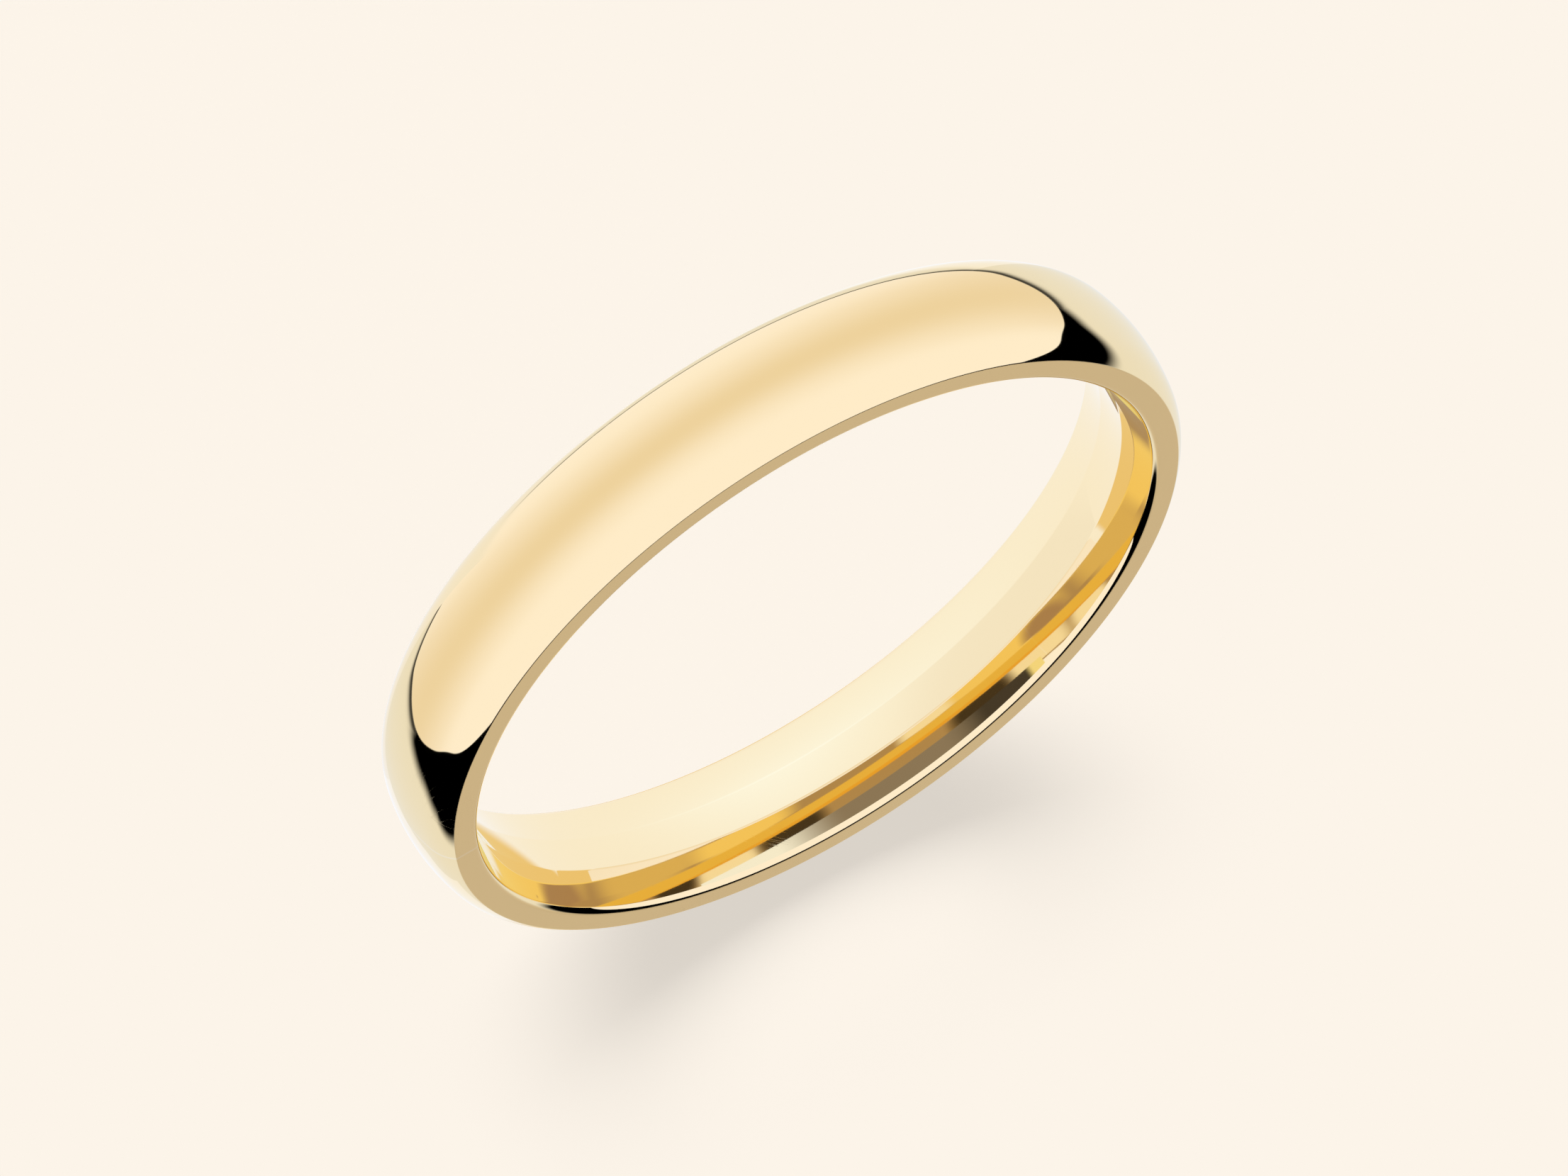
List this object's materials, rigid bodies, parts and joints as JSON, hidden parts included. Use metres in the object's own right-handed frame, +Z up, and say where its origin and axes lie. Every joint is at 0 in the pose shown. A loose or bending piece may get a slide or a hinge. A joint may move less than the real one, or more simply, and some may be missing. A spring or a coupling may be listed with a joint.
{
  "type": "wedding band",
  "caption": "Plain polished gold wedding band: domed outside, flat rims and an eased inside, closed by a soldered joint and worn on a finger.",
  "frame": {"origin": "middle of the finger opening, in the band's middle plane; the band stands on its edge on a surface at z = -9.83 mm", "axes": "+Y along the finger axis, +Z up with the band standing on its edge, front rim at -Y"},
  "size_m": [0.0196, 0.003, 0.0196],
  "materials": {
    "gold": "high polish, with finely brushed flat rims",
    "gold_solder": "high polish, slightly paler than the band"
  },
  "bodies": {
    "root": {"band_shank": "gold", "solder_seam": "gold_solder"}
  },
  "joints": []
}
